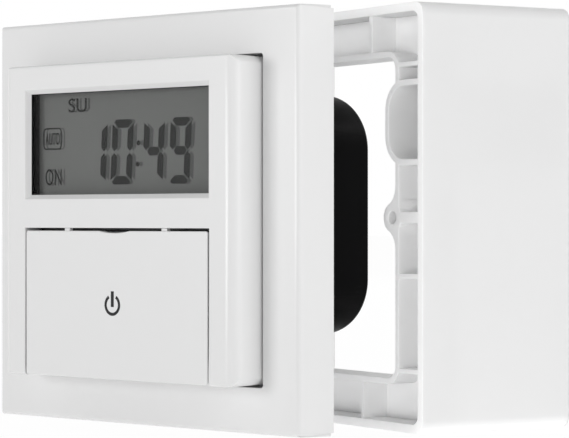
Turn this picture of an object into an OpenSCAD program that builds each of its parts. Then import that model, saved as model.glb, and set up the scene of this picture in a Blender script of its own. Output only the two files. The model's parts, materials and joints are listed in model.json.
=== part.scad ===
// In-wall timer switch: a square cover frame round a raised display module, with a flap over the
// program keys, a housing that sinks into the wall, and a loose box for mounting on the wall.
// X is to the right, Y goes into the wall, Z is up. Y = 0 is the wall plane, the ring's rear face.

/* [Cover frame] */
// width and height at the front edge
plate_w = 80; // [70:0.5:100]
// depth from front face to rear edge
plate_t = 9.8; // [8:0.1:14]
// growth of each side from front to rear
plate_flare = 0.45; // [0:0.05:1.2]
// rounding of the front edge
plate_edge_r = 1; // [0.3:0.1:2]
// side wall
plate_wall = 2.2; // [1.5:0.1:4]
// front wall
plate_front = 2.4; // [1.5:0.1:4]
// rear edge stays this far in front of the support ring
plate_lift = 0.1; // [0.05:0.05:1]
// gap between the frame's opening and the module
module_gap = 0.45; // [0.1:0.05:0.8]
// corner radius of the frame's outline, at its rear
plate_corner_r = 3; // [1.5:0.1:5]
// corner radius of the frame's opening
plate_hole_r = 0.6; // [0.2:0.1:1.5]

/* [Front bezel] */
// width and height of the display module
module_w = 61.7; // [58:0.1:64]
// how far the module stands out of the frame
module_out = 7.65; // [6:0.05:10]
// rounding of its left and right front edges
bezel_side_r = 2.2; // [1:0.1:3]
// rounding of its top and bottom front edges
bezel_edge_r = 0.7; // [0.2:0.1:1.2]
// rounding of its corners seen from the front
bezel_corner_r = 2.2; // [0.5:0.1:3]
// side wall
bezel_wall = 1.8; // [1.2:0.1:2.2]
// front wall
bezel_front = 1.95; // [1.5:0.05:2.5]

/* [Display] */
// bezel beside the window
win_side = 7.1; // [7:0.05:10]
// bezel above the window
win_top = 5.65; // [5.5:0.05:8]
// bezel between the window and the flap
win_strip = 7.1; // [6:0.1:9]
// bevel round the window
win_bevel = 0.8; // [0.5:0.05:1.2]
// depth of the bevel, down to the lens
win_depth = 1; // [0.5:0.05:1.2]
// glass reaches this far past the window on each side
lcd_over = 0.7; // [0.6:0.1:1.2]
// panel thickness with its films
lcd_t = 2.6; // [1.5:0.1:3]
// front lip of the panel's holder
holder_lip = 1.5; // [1:0.1:2]
// side wall of the panel's holder
holder_wall = 0.8; // [0.6:0.1:1]
// width of a contact strip
strip_w = 1.8; // [1:0.1:2.4]

/* [Flap] */
// bezel beside the flap
flap_side = 6.6; // [6.4:0.05:8]
// height
flap_h = 28.7; // [28:0.1:31]
// thickness
flap_t = 1.8; // [1.4:0.1:2]
// gap at each side
flap_gap = 0.4; // [0.15:0.05:0.4]
// gap above its top edge
slot_gap = 0.55; // [0.3:0.05:0.6]
// bottom edge stays this far above the module's bottom
flap_foot = 0.15; // [0.1:0.05:0.5]
// hinge axis behind the front face
hinge_in = 2.45; // [2.2:0.05:2.6]
// hinge axis above the flap's bottom edge
hinge_up = 1.9; // [1.6:0.05:2]
// hinge pin radius
pin_r = 0.8; // [0.6:0.05:1]
// running clearance round the pin
pin_run = 0.05; // [0.03:0.01:0.08]
// hinge ear radius
ear_r = 1.75; // [1.5:0.05:1.9]
// hinge ear length
ear_l = 3.2; // [2:0.1:5]
// latch lug distance from the middle
lug_x = 13; // [8:0.5:20]
// latch lug width
lug_w = 1.4; // [1:0.1:2]
// width of the finger-nail cut
nail_w = 8.2; // [5:0.1:12]
// depth of the finger-nail cut
nail_d = 0.4; // [0.3:0.05:1]

/* [Keys] */
// key width
key_w = 8; // [6:0.1:8.4]
// key height
key_h = 5; // [4:0.1:6]
// distance between keys
key_pitch = 11; // [10.5:0.1:12]
// gap round a key
key_gap = 0.2; // [0.1:0.05:0.4]
// row of keys above the flap's bottom edge
key_up = 12.2; // [11.5:0.1:13]
// power plunger above the row of keys
plunger_up = 9; // [8.5:0.1:10]
// power plunger radius
plunger_r = 2.2; // [1.8:0.1:2.6]
// reset button radius
reset_r = 1.2; // [0.8:0.1:1.6]
// radius of a switch stem
stem_r = 1.1; // [0.8:0.05:1.3]
// width of a push switch
tact_w = 4.6; // [4:0.1:6]
// height of a push switch
tact_h = 2.35; // [2:0.05:3]
// fascia sheet
fascia_t = 0.8; // [0.5:0.05:1]
// bay floor
floor_t = 1.95; // [1.5:0.05:2.2]

/* [Support ring] */
// sheet thickness
ring_t = 1.2; // [1:0.1:1.5]
// distance between the screw slots
slot_pitch = 60; // [60:0.5:61]
// slot width
slot_w = 3.8; // [3.4:0.1:4.2]
// slot length
slot_l = 8; // [6:0.1:8]
// metal outside the slots
ring_rim = 1.5; // [1:0.1:2.5]
// metal between the slots and the housing
ring_web = 1.2; // [1:0.1:2]

/* [Rear housing] */
// corner radius
hs_r = 11.4; // [8:0.1:14]
// depth behind the wall plane
hs_depth = 30.4; // [29:0.1:34]
// middle sits this far above the frame's middle
hs_up = 1.2; // [0:0.1:1.4]
// wall
hs_wall = 1.8; // [1.4:0.1:2.2]
// flange stands this far out of the housing
flange_out = 1.25; // [1.1:0.05:1.4]
// flange thickness
flange_t = 2; // [1.5:0.1:2.4]

/* [Surface box] */
// width and height at the front rim
box_w = 82; // [81.4:0.1:90]
// depth
box_d = 36; // [32:0.5:50]
// growth of each side from front to rear
box_draft = 0.4; // [0:0.05:1]
// corner radius
box_r = 2.5; // [1:0.1:5]
// outer wall
box_wall = 1.7; // [1.2:0.1:2.2]
// curtain, ribs and bosses lie this far behind the rim
box_recess = 0.9; // [0.5:0.05:1.4]
// opening inside the curtain wall
mouth_w = 62; // [60:0.1:63]
// curtain wall
curtain_t = 1.2; // [0.8:0.1:1.6]
// floor of the pockets behind the rim
web_y = 6.6; // [5:0.1:12]
// thickness of that floor
web_t = 1.5; // [1:0.1:2.5]
// rib thickness
rib_t = 0.9; // [0.6:0.1:1.4]
// boss radius
boss_r = 2.85; // [2.4:0.05:3.2]
// fillet between a boss and the curtain
boss_blend = 4; // [2:0.1:6]
// boss hole radius
boss_hole_r = 1.25; // [1:0.05:1.6]
// wall-screw wells bulge this far into the opening
well_out = 3.3; // [1.5:0.1:3.6]
// rounding of the wells' bulge, on the inside
well_soft = 4.6; // [2:0.1:6]
// lower end of the well beside the bosses
well_z0 = 11.2; // [9:0.1:14]
// upper end of the well
well_z1 = 25.3; // [20:0.1:27]
// upper end of the flush well on the left
flush_z1 = 21; // [20.6:0.1:22]
// wall-screw hole radius
wall_hole_r = 2.25; // [1.8:0.05:2.6]

/* [Place of the loose box] */
// turned about the upright, 0 when seated
box_turn = 16.7; // [0:0.1:20]
// to the right of its seat, 0 when seated
box_x = 12.3; // [0:0.1:14]
// behind its seat, 0 when seated
box_y = 24.35; // [0:0.05:60]
// above its seat, 0 when seated
box_up = 0.55; // [0:0.05:1]

/* [Hidden] */
$fn = 64;
over = 1;
seat = 0.05;
// stations along Y, front to rear
ring_y0 = -ring_t;
plate_y1 = ring_y0 - plate_lift;
plate_y0 = plate_y1 - plate_t;
mod_y0 = plate_y0 - module_out;
wall_y = mod_y0 + bezel_front;
lip_y1 = wall_y + holder_lip;
lcd_mid = lip_y1 + lcd_t / 2;
lcd_y1 = lip_y1 + lcd_t;
strip_side = 0.15;
strip_ledge = strip_w + 2 * strip_side;
hinge_y = mod_y0 + hinge_in;
flap_y1 = mod_y0 + flap_t;
flap_bot = -module_w / 2 + flap_foot;
flap_top = flap_bot + flap_h;
flap_w = module_w - 2 * flap_side;
win_w = module_w - 2 * win_side;
win_h = module_w / 2 - win_top - flap_top - win_strip;
win_z = flap_top + win_strip + win_h / 2;
hinge_z = flap_bot + hinge_up;
sweep = sqrt(hinge_in * hinge_in + hinge_up * hinge_up);
// the lip meets the bay's low floor when the flap is open by open_deg
open_deg = 115;
lip_a = 180 + atan(hinge_up / hinge_in);
lip_clear = 0.1;
low_step = 0.45;
low_cut = 0.3;
low_y0 = hinge_y + sweep * cos(lip_a + open_deg) + lip_clear;
floor_y0 = low_y0 - low_step;
floor_y1 = floor_y0 + floor_t;
low_z = hinge_z + sweep - low_cut;
fascia_y0 = floor_y0 - fascia_t;
// keys and switches
key_proud = 1;
key_slack = 0.15;
key_foot = 0.8;
key_rim = 0.8;
stem_out = 0.55;
stem_in = 0.75;
stem_deep = 1.15;
stem_run = 0.12;
foot_y0 = floor_y1 + key_slack;
foot_y1 = foot_y0 + key_foot;
tact_y0 = foot_y1 + stem_out;
board_y0 = tact_y0 + tact_h;
board_t = 1.4;
board_y1 = board_y0 + board_t;
key_r = 1;
plunger_run = 0.1;
plunger_proud = 0.5;
post_r = 1.5;
// keys: name, and place along the row in pitches from the middle
KEYS = [["day", -1.5], ["hour", -0.5], ["minute", 0.5], ["program", 1.5]];
key_z = flap_bot + key_up;
plunger_z = key_z + plunger_up;
reset_x = KEYS[3][1] * key_pitch;
// ring and housing
ring_run = 0.3;
ring_w = slot_pitch + slot_l + 2 * ring_rim;
hs_w = slot_pitch - slot_l - 2 * (ring_web + ring_run);
flange_w = hs_w + 2 * flange_out;
inner_w = hs_w - 2 * hs_wall;
inner_r = hs_r - hs_wall;
step_w = 1;
deep_w = inner_w - 2 * step_w;
deep_r = inner_r - step_w;
hs_y1 = hs_depth;
hs_floor = hs_depth - hs_wall;
flange_y0 = ring_y0 - flange_t;
flange_r = 3;
hs_screw_out = 0.1;
hs_screw_at = flange_w / 2 - flange_r + hs_screw_out;
hs_screw_r = 0.95;
hs_head_r = 1.9;
hs_head = 1.3;
// bay
bay_half = flap_w / 2 + flap_gap;
bay_wall = 1.5;
bay_top = flap_top + slot_gap;
cav = module_w / 2 - bezel_wall;
pin_l = 5;
pin_in = 2.95;
pin_block = 3.6;
pin_block_h = 4.4;
// bosses for the display board
peg_r = 1.9;
peg_sink = 0.15;
peg_at = cav - peg_r + peg_sink;
peg_up = 10.2;
peg_low = flap_bot + peg_up;
peg_hole = 0.75;
peg_deep = 5;
board_gap = 0.45;
board_w = 2 * (cav - board_gap);
tip_gap = 1;
screw_r = 0.7;
screw_head_r = 1.5;
screw_head = 1.2;
// tongues that hook behind the ring
tongue_w = 8;
tongue_t = 1.1;
tongue_gap = 0.25;
tongue_foot = 1.6;
tongue_hook = 0.65;
tongue_end = 1.3;
tongue_z = flange_w / 2 + hs_up + tongue_gap;
tongue_back = 1.8;
tongue_y0 = ring_y0 - flange_t - tongue_back;
// notch in the module's side for the box screws
notch_w = 9;
notch_h = 3;
// power board
pb_t = 1.6;
pb_y0 = 3;
pb_y1 = pb_y0 + pb_t;
pb_gap = 0.2;
pb_screw_x = 18.2;
pb_boss_r = 2.4;
pb_pilot = 0.8;
// terminals
term_pitch = 7.5;
term_half = 11.4;
term_h = 11;
term_d = 12;
term_z0 = hs_up - deep_w / 2;
clamp_w = 5.4;
clamp_h = 7.4;
clamp_d = 8;
clamp_up = 1.8;
wire_w = 4;
term_screw_r = 1.2;
term_head_r = 1.8;
term_hole_r = 2.05;
term_y = hs_floor - term_d / 2;
clamp_back = 1;
clamp_wall = 0.7;
wire_mid = term_z0 + clamp_up + clamp_h - wire_w / 2 - clamp_wall;
// header between the boards
head_w = 12;
head_h = 3;
head_z = -13;
head_block = 2.5;
pin_sq = 0.64;
pin_n = 4;
pin_step = 2.54;
socket_y0 = -1.5;
// parts on the boards: place from the left and from below, then size
controller_x = -14;
controller_z = 3;
controller_w = 10;
controller_t = 1.6;
lead_out = 0.6;
lead_t = 0.3;
lead_step = 1;
crystal_x = -13;
crystal_z = -3;
crystal_r = 1.5;
crystal_l = 8;
cell_x = 11;
cell_z = 7;
cell_r = 6.2;
cell_cap_r = 5.4;
cell_rim = 2.2;
cell_t = 2.8;
relay_x = -19;
relay_z = 5.4;
relay_w = 18.6;
relay_d = 15.2;
relay_h = 14;
film_x = 1;
film_z = 4.6;
film_w = 15;
film_d = 14;
film_h = 7.5;
can_x = 6.5;
can_z = 17.2;
can_r = 4;
can_top_r = 3.6;
can_sleeve = 13;
can_l = 13.3;
disc_x = -12.5;
disc_z = -3.2;
disc_r = 4.4;
disc_t = 3.5;
resistor_x = -4;
resistor_z = -2.5;
resistor_r = 1.5;
resistor_l = 9;
resistor_cap_r = 1.8;
resistor_cap = 1.5;
rectifier_x = 8;
rectifier_z = -5;
rectifier_w = 6;
rectifier_d = 2.6;
rectifier_h = 4.6;
// box stations
box_in = box_w / 2 - box_wall;
curtain = mouth_w / 2;
rib_z = 29.4;
rib_low = 11.2;
rib_top_x = 23;
rib_bot_x = 20.1;
boss_rib = 2.2;
boss_tail = 2;
boss_pad = 3.4;
boss_pad_t = 0.8;
boss_pad_in = 0.8;
well_mid = (well_z0 + well_z1) / 2;
well_screw = 1.6;
well_x = curtain + curtain_t + well_screw;
well_floor = 2;

// rounded rectangle, flat
module rrect(w, h, r) {
    square([w - 2 * r, h], center = true);
    square([w, h - 2 * r], center = true);
    for (sx = [-1, 1], sz = [-1, 1])
        translate([sx * (w / 2 - r), sz * (h / 2 - r)]) circle(r);
}

// rounded slab between two stations along Y
module slab(w, h, r, y0, y1, x = 0, z = 0) {
    translate([x, 0, z]) seen_from_front(y0, y1) rrect(w, h, r);
}

// block between two corners
module block(x0, x1, y0, y1, z0, z1) {
    translate([x0, y0, z0]) cube([x1 - x0, y1 - y0, z1 - z0]);
}

// rods along the three axes
module rod_y(r, y0, y1, x, z) {
    translate([x, y1, z]) rotate([90, 0, 0]) cylinder(r = r, h = y1 - y0);
}
module rod_x(r, x0, x1, y, z) {
    translate([x0, y, z]) rotate([0, 90, 0]) cylinder(r = r, h = x1 - x0);
}
module rod_z(r, z0, z1, x, y) {
    translate([x, y, z0]) cylinder(r = r, h = z1 - z0);
}

// copies on both sides of the middle
module both_x() {
    children();
    mirror([1, 0, 0]) children();
}
module both_z() {
    children();
    mirror([0, 0, 1]) children();
}

// side view of a shell that grows from front to rear, with a rounded front edge
module flared_profile(half, flare, y0, y1, r) {
    a = atan(flare / (y1 - y0));
    cx = half - r * (1 - sin(a)) / cos(a);
    polygon([[-cx, y0], [cx, y0], [cx + r * cos(a), y0 + r - r * sin(a)], [half + flare, y1],
        [-half - flare, y1], [-cx - r * cos(a), y0 + r - r * sin(a)]]);
    for (s = [-1, 1]) translate([s * cx, y0 + r]) circle(r);
}

// the same profile run along Z and along X, and kept where both agree
module flared_block(half_x, half_z, flare, y0, y1, r_side, r_top) {
    reach = 2 * (half_x + half_z + flare);
    intersection() {
        translate([0, 0, -reach / 2]) linear_extrude(reach)
            flared_profile(half_x, flare, y0, y1, r_side);
        translate([-reach / 2, 0, 0]) rotate([90, 0, 90]) linear_extrude(reach)
            mirror([1, -1, 0]) flared_profile(half_z, flare, y0, y1, r_top);
    }
}

// square frame in front of the wall, open at the rear, with four feet that stand on the ring
module cover_frame() {
    foot_r = 2;
    foot_in = 0.5;
    foot_rib = 0.8;
    foot_at = ring_w / 2 - foot_r - foot_in;
    hole = module_w + 2 * module_gap;
    skirt = 1.4;
    skirt_gap = 2;
    inner = plate_w - 2 * plate_wall;
    color([0.9, 0.9, 0.89]) difference() {
        union() {
            difference() {
                intersection() {
                    flared_block(plate_w / 2, plate_w / 2, plate_flare, plate_y0, plate_y1,
                        plate_edge_r, plate_edge_r);
                    slab(plate_w + 2 * plate_flare, plate_w + 2 * plate_flare, plate_corner_r,
                        plate_y0 - over, plate_y1 + over);
                }
                slab(inner, inner, plate_edge_r, plate_y0 + plate_front, plate_y1 + over);
            }
            slab(hole + 2 * skirt, hole + 2 * skirt, plate_hole_r + skirt, plate_y0 + plate_edge_r,
                ring_y0 - skirt_gap);
            for (sx = [-1, 1], sz = [-1, 1])
                rod_y(foot_r, plate_y0 + plate_edge_r, ring_y0, sx * foot_at, sz * foot_at);
            both_z() both_x() block(foot_at, inner / 2 + seat, plate_y0 + plate_edge_r,
                ring_y0 - skirt_gap, foot_at - foot_rib / 2, foot_at + foot_rib / 2);
        }
        slab(hole, hole, plate_hole_r, plate_y0 - over, plate_y1 + over);
    }
}

// display module: window above, flap bay below, hollow behind
module front_bezel() {
    half = module_w / 2;
    color([0.93, 0.93, 0.92]) difference() {
        union() {
            difference() {
                intersection() {
                    flared_block(half, half, 0, mod_y0, ring_y0, bezel_side_r, bezel_edge_r);
                    slab(module_w, module_w, bezel_corner_r, mod_y0 - over, ring_y0 + over);
                }
                block(-cav, cav, wall_y, ring_y0 + over, -cav, cav);
            }
            block(-bay_half - bay_wall, bay_half + bay_wall, wall_y - seat, floor_y1, -half + seat,
                bay_top + bay_wall);
            both_x() block(bay_half, bay_half + pin_block, wall_y - seat, low_y0 + seat,
                -half + seat, -half + pin_block_h);
            both_x() for (z = [peg_at, peg_low]) rod_y(peg_r, wall_y - seat, board_y0, peg_at, z);
            both_z() {
                block(-tongue_w / 2, tongue_w / 2, tongue_y0, tongue_end, tongue_z,
                    tongue_z + tongue_t);
                block(-tongue_w / 2, tongue_w / 2, tongue_y0, tongue_y0 + tongue_foot, tongue_z,
                    cav + seat);
                block(-tongue_w / 2, tongue_w / 2, 0, tongue_end, tongue_z,
                    tongue_z + tongue_t + tongue_hook);
            }
        }
        bay_void();
        window_void();
        key_holes(floor_y0 - over, floor_y1 + over, key_gap, plunger_run);
        both_x() rod_x(pin_r + pin_run, bay_half - over, bay_half + pin_in + seat, hinge_y, hinge_z);
        both_x() for (z = [peg_at, peg_low])
            rod_y(peg_hole, board_y0 - peg_deep, board_y0 + over, peg_at, z);
        both_x() block(cav - over, half + over, ring_y0 - notch_h, ring_y0 + over, -notch_w / 2,
            notch_w / 2);
    }
}

// space that the flap and its lip sweep through
module bay_void() {
    half = module_w / 2;
    block(-bay_half, bay_half, mod_y0 - over, floor_y0, low_z, bay_top);
    block(-bay_half, bay_half, mod_y0 - over, low_y0, -half - over, low_z + seat);
}

// bevelled window with a rebate for the lens
module window_void() {
    w = win_w / 2;
    h = win_h / 2;
    b = win_bevel;
    intersection() {
        translate([0, 0, win_z - win_h]) linear_extrude(2 * win_h)
            polygon([[-w - b - over, mod_y0 - over], [w + b + over, mod_y0 - over], [w, mod_y0 + win_depth],
                [-w, mod_y0 + win_depth]]);
        translate([-win_w, 0, win_z]) rotate([90, 0, 90]) linear_extrude(2 * win_w)
            polygon([[mod_y0 - over, -h - b - over], [mod_y0 - over, h + b + over],
                [mod_y0 + win_depth, h], [mod_y0 + win_depth, -h]]);
    }
    block(-w, w, mod_y0, wall_y + over, win_z - h, win_z + h);
    block(-w - lcd_over, w + lcd_over, mod_y0 + win_depth, wall_y + over, win_z - h - lcd_over,
        win_z + h + lcd_over);
}

// openings for the keys, the plunger and the reset button
module key_holes(y0, y1, gap, run) {
    for (k = KEYS)
        slab(key_w + 2 * gap, key_h + 2 * gap, key_r + gap, y0, y1, k[1] * key_pitch, key_z);
    rod_y(plunger_r + run, y0, y1, 0, plunger_z);
    rod_y(reset_r + run, y0, y1, reset_x, plunger_z);
}

// clear sheet in the window's rebate
module display_lens() {
    color([0.85, 0.88, 0.88, 0.4]) block(-win_w / 2 - lcd_over + seat, win_w / 2 + lcd_over - seat,
        mod_y0 + win_depth, wall_y, win_z - win_h / 2 - lcd_over + seat,
        win_z + win_h / 2 + lcd_over - seat);
}

// glass sandwich of the display: the front glass is taller, and has the contacts on its rear
module lcd_panel() {
    w = win_w / 2 + lcd_over;
    h = win_h / 2 + lcd_over;
    color([0.4, 0.43, 0.4]) union() {
        block(-w, w, lip_y1, lcd_mid, win_z - h, win_z + h);
        block(-w, w, lcd_mid - seat, lcd_y1, win_z - h + strip_ledge, win_z + h - strip_ledge);
    }
}

// black frame that carries the display down to the board
module lcd_holder() {
    w = win_w / 2 + lcd_over + seat;
    h = win_h / 2 + lcd_over + seat;
    color([0.05, 0.05, 0.05]) difference() {
        block(-w - holder_wall, w + holder_wall, wall_y, board_y0, win_z - h - holder_wall,
            win_z + h + holder_wall);
        block(-win_w / 2, win_w / 2, wall_y - over, board_y0, win_z - win_h / 2, win_z + win_h / 2);
        block(-w, w, lip_y1, board_y0 + over, win_z - h, win_z + h);
    }
}

// two elastic strips between the front glass and the board
module contact_strips() {
    w = win_w / 2 - lcd_over;
    off = win_h / 2 + lcd_over - strip_ledge / 2;
    for (s = [-1, 1]) color([0.75, 0.5, 0.5])
        block(-w, w, lcd_mid, board_y0, win_z + s * off - strip_w / 2, win_z + s * off + strip_w / 2);
}

// flap over the keys: plate, ears on the hinge axis, post over the plunger, two latch lugs
module flap() {
    half = flap_w / 2;
    edge = 0.5;
    nail_r = (nail_w * nail_w / 4 + nail_d * nail_d) / (2 * nail_d);
    lug_h = slot_gap - seat;
    lug_t = 0.9;
    post_y1 = fascia_y0 - plunger_proud - seat;
    rib = 0.8;
    rib_h = 0.6;
    rib_y1 = flap_y1 + rib_h;
    color([0.93, 0.93, 0.92]) difference() {
        union() {
            difference() {
                slab(flap_w, flap_top - flap_bot, edge, mod_y0, flap_y1, 0,
                    (flap_top + flap_bot) / 2);
                rod_y(nail_r, mod_y0 - over, flap_y1 + over, 0, flap_top + nail_r - nail_d);
            }
            both_x() rod_x(ear_r, half - ear_l, half, hinge_y, hinge_z);
            both_x() block(half - ear_l, half, flap_y1 - seat, hinge_y, hinge_z - ear_r,
                hinge_z + ear_r);
            both_x() block(lug_x - lug_w / 2, lug_x + lug_w / 2, flap_y1 - lug_t - edge,
                flap_y1 - edge, flap_top - edge, flap_top + lug_h);
            rod_y(post_r, flap_y1 - seat, post_y1, 0, plunger_z);
            both_x() block(half - ear_l - rib, half - ear_l, flap_y1 - seat, rib_y1,
                hinge_z, flap_top - ear_l);
            block(-half + ear_l, half - ear_l, flap_y1 - seat, rib_y1, flap_top - ear_l - rib,
                flap_top - ear_l);
        }
        both_x() rod_x(pin_r + pin_run, half - ear_l - over, half + over, hinge_y, hinge_z);
    }
}

// stub pins between the flap's ears and the cheeks
module flap_pins() {
    x1 = bay_half + pin_in - seat;
    color([0.7, 0.7, 0.72]) both_x() rod_x(pin_r, x1 - pin_l, x1, hinge_y, hinge_z);
}

// printed sheet on the bay's floor
module key_fascia() {
    side = 0.3;
    color([0.78, 0.79, 0.8]) difference() {
        block(-bay_half + side, bay_half - side, fascia_y0, floor_y0, low_z + side, bay_top - side);
        key_holes(fascia_y0 - over, floor_y0 + over, key_gap, plunger_run);
    }
}

// one program key with its retaining rim
module program_cap(i) {
    x = KEYS[i][1] * key_pitch;
    color([0.86, 0.87, 0.88]) union() {
        slab(key_w, key_h, key_r, fascia_y0 - key_proud, foot_y1, x, key_z);
        slab(key_w + 2 * key_rim, key_h + 2 * key_rim, key_r, foot_y0, foot_y1, x, key_z);
    }
}

// small sunk button
module reset_button() {
    color([0.86, 0.87, 0.88]) union() {
        rod_y(reset_r, fascia_y0 + fascia_t / 2, foot_y1, reset_x, plunger_z);
        rod_y(reset_r + key_rim, foot_y0, foot_y1, reset_x, plunger_z);
    }
}

// plunger that the flap's post drives
module power_plunger() {
    color([0.9, 0.9, 0.89]) union() {
        rod_y(plunger_r, fascia_y0 - plunger_proud, foot_y1, 0, plunger_z);
        rod_y(plunger_r + key_rim, foot_y0, foot_y1, 0, plunger_z);
    }
}

// stem of a push switch
module switch_stem(x, z) {
    color([0.15, 0.15, 0.15]) rod_y(stem_r, foot_y1, tact_y0 + stem_in, x, z);
}

// cases of the push switches on the display board
module push_switches() {
    spots = concat([for (k = KEYS) [k[1] * key_pitch, key_z]], [[0, plunger_z], [reset_x, plunger_z]]);
    for (s = spots) color([0.2, 0.2, 0.2]) difference() {
        block(s[0] - tact_w / 2, s[0] + tact_w / 2, tact_y0, board_y0, s[1] - tact_w / 2,
            s[1] + tact_w / 2);
        rod_y(stem_r + stem_run, tact_y0 - over, tact_y0 + stem_deep, s[0], s[1]);
    }
}

// board behind the display and the keys
module display_board() {
    half = board_w / 2;
    slack = 0.6;
    hole = 0.95;
    color([0.1, 0.35, 0.2]) difference() {
        block(-half, half, board_y0, board_y1, -half, half);
        both_x() for (z = [peg_at, peg_low]) rod_y(hole, board_y0 - over, board_y1 + over, peg_at, z);
        both_z() block(-tongue_w / 2 - slack, tongue_w / 2 + slack, board_y0 - over, board_y1 + over,
            tongue_z - slack, half + over);
    }
}

// four screws from the board into the bezel
module board_screws() {
    both_x() for (z = [peg_at, peg_low]) color([0.6, 0.6, 0.62]) union() {
        rod_y(screw_r, board_y0 - peg_deep + tip_gap, board_y1 + seat, peg_at, z);
        rod_y(screw_head_r, board_y1, board_y1 + screw_head, peg_at, z);
    }
}

// controller on the rear of the display board
module controller() {
    x1 = controller_x + controller_w;
    z1 = controller_z + controller_w;
    color([0.08, 0.08, 0.08]) union() {
        block(controller_x, x1, board_y1, board_y1 + controller_t, controller_z, z1);
        for (z = [controller_z + lead_step:lead_step:z1 - lead_step])
            block(controller_x - lead_out, x1 + lead_out, board_y1, board_y1 + lead_t,
                z - lead_t / 2, z + lead_t / 2);
    }
}

// can of the clock crystal, lying on the board
module clock_crystal() {
    color([0.75, 0.75, 0.77])
        rod_x(crystal_r, crystal_x, crystal_x + crystal_l, board_y1 + crystal_r, crystal_z);
}

// backup cell, with its raised cap
module backup_cell() {
    color([0.75, 0.75, 0.74]) union() {
        rod_y(cell_r, board_y1, board_y1 + cell_rim, cell_x, cell_z);
        rod_y(cell_cap_r, board_y1, board_y1 + cell_t, cell_x, cell_z);
    }
}

// pins that join the boards
module pin_header() {
    color([0.1, 0.1, 0.1]) union() {
        block(-head_w / 2, head_w / 2, board_y1, board_y1 + head_block, head_z - head_h / 2,
            head_z + head_h / 2);
        for (i = [0:pin_n - 1])
            block((i - (pin_n - 1) / 2) * pin_step - pin_sq / 2,
                (i - (pin_n - 1) / 2) * pin_step + pin_sq / 2, board_y1, pb_y0 - tip_gap,
                head_z - pin_sq / 2, head_z + pin_sq / 2);
    }
}

// socket on the power board
module header_socket() {
    loose = 0.1;
    socket_floor = 0.5;
    color([0.1, 0.1, 0.1]) difference() {
        block(-head_w / 2, head_w / 2, socket_y0, pb_y0, head_z - head_h / 2, head_z + head_h / 2);
        for (i = [0:pin_n - 1])
            block((i - (pin_n - 1) / 2) * pin_step - pin_sq / 2 - loose,
                (i - (pin_n - 1) / 2) * pin_step + pin_sq / 2 + loose, socket_y0 - over,
                pb_y0 - socket_floor, head_z - pin_sq / 2 - loose, head_z + pin_sq / 2 + loose);
    }
}

// steel ring that is screwed to the wall box
module support_ring() {
    corner = 3;
    slack = 0.3;
    run = slot_l - slot_w;
    color([0.72, 0.73, 0.75]) difference() {
        slab(ring_w, ring_w, corner, ring_y0, 0);
        slab(hs_w + 2 * ring_run, hs_w + 2 * ring_run, hs_r + ring_run, ring_y0 - over, over, 0, hs_up);
        both_x() translate([slot_pitch / 2, 0, 0]) {
            rod_y(slot_w / 2, ring_y0 - over, over, -run / 2, 0);
            rod_y(slot_w / 2, ring_y0 - over, over, run / 2, 0);
            block(-run / 2, run / 2, ring_y0 - over, over, -slot_w / 2, slot_w / 2);
        }
        both_z() block(-tongue_w / 2 - slack, tongue_w / 2 + slack, ring_y0 - over, over,
            tongue_z - slack / 2, tongue_z + tongue_t + slack);
        for (sx = [-1, 1], sz = [-1, 1])
            rod_y(hs_screw_r, ring_y0 - over, over, sx * hs_screw_at, hs_up + sz * hs_screw_at);
    }
}

// black housing that sinks into the wall
module rear_housing() {
    color([0.06, 0.06, 0.06]) difference() {
        union() {
            difference() {
                union() {
                    slab(hs_w, hs_w, hs_r, flange_y0, hs_y1, 0, hs_up);
                    slab(flange_w, flange_w, flange_r, flange_y0, ring_y0, 0, hs_up);
                }
                slab(inner_w, inner_w, inner_r, flange_y0 - over, pb_y1, 0, hs_up);
                slab(deep_w, deep_w, deep_r, pb_y1 - over, hs_floor, 0, hs_up);
            }
            both_x() rod_y(pb_boss_r, pb_y1, hs_floor + seat, pb_screw_x, hs_up);
        }
        both_x() rod_y(pb_pilot, pb_y1 - over, pb_y1 + peg_deep, pb_screw_x, hs_up);
        for (sx = [-1, 1], sz = [-1, 1])
            rod_y(hs_screw_r + seat, flange_y0 - over, ring_y0 + over, sx * hs_screw_at,
                hs_up + sz * hs_screw_at);
        for (i = [-1:1]) {
            block(i * term_pitch - wire_w / 2, i * term_pitch + wire_w / 2, hs_floor - over,
                hs_y1 + over, wire_mid - wire_w / 2, wire_mid + wire_w / 2);
            rod_z(term_hole_r, hs_up - hs_w / 2 - over, term_z0 + over, i * term_pitch, term_y);
        }
    }
}

// screws through the housing's flange into the ring
module housing_screws() {
    for (sx = [-1, 1], sz = [-1, 1]) color([0.6, 0.6, 0.62]) union() {
        rod_y(hs_screw_r - seat, flange_y0 - seat, 0, sx * hs_screw_at, hs_up + sz * hs_screw_at);
        rod_y(hs_head_r, flange_y0 - hs_head, flange_y0, sx * hs_screw_at, hs_up + sz * hs_screw_at);
    }
}

// board with the mains parts
module power_board() {
    hole = 1.1;
    color([0.5, 0.4, 0.15]) difference() {
        slab(inner_w - 2 * pb_gap, inner_w - 2 * pb_gap, inner_r - pb_gap, pb_y0, pb_y1, 0, hs_up);
        both_x() rod_y(hole, pb_y0 - over, pb_y1 + over, pb_screw_x, hs_up);
    }
}

// screws that hold the power board
module power_board_screws() {
    both_x() color([0.6, 0.6, 0.62]) union() {
        rod_y(pb_pilot - seat, pb_y0 - seat, pb_y1 + peg_deep - tip_gap, pb_screw_x, hs_up);
        rod_y(screw_head_r + seat, pb_y0 - screw_head, pb_y0, pb_screw_x, hs_up);
    }
}

// box-shaped part on the power board
module on_power_board(x, z, w, d, h) {
    block(x, x + w, pb_y1, pb_y1 + d, z, z + h);
}

// relay
module relay() {
    color([0.1, 0.15, 0.35]) on_power_board(relay_x, relay_z, relay_w, relay_d, relay_h);
}

// box capacitor in the mains supply
module mains_capacitor() {
    color([0.75, 0.65, 0.2]) on_power_board(film_x, film_z, film_w, film_d, film_h);
}

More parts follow.
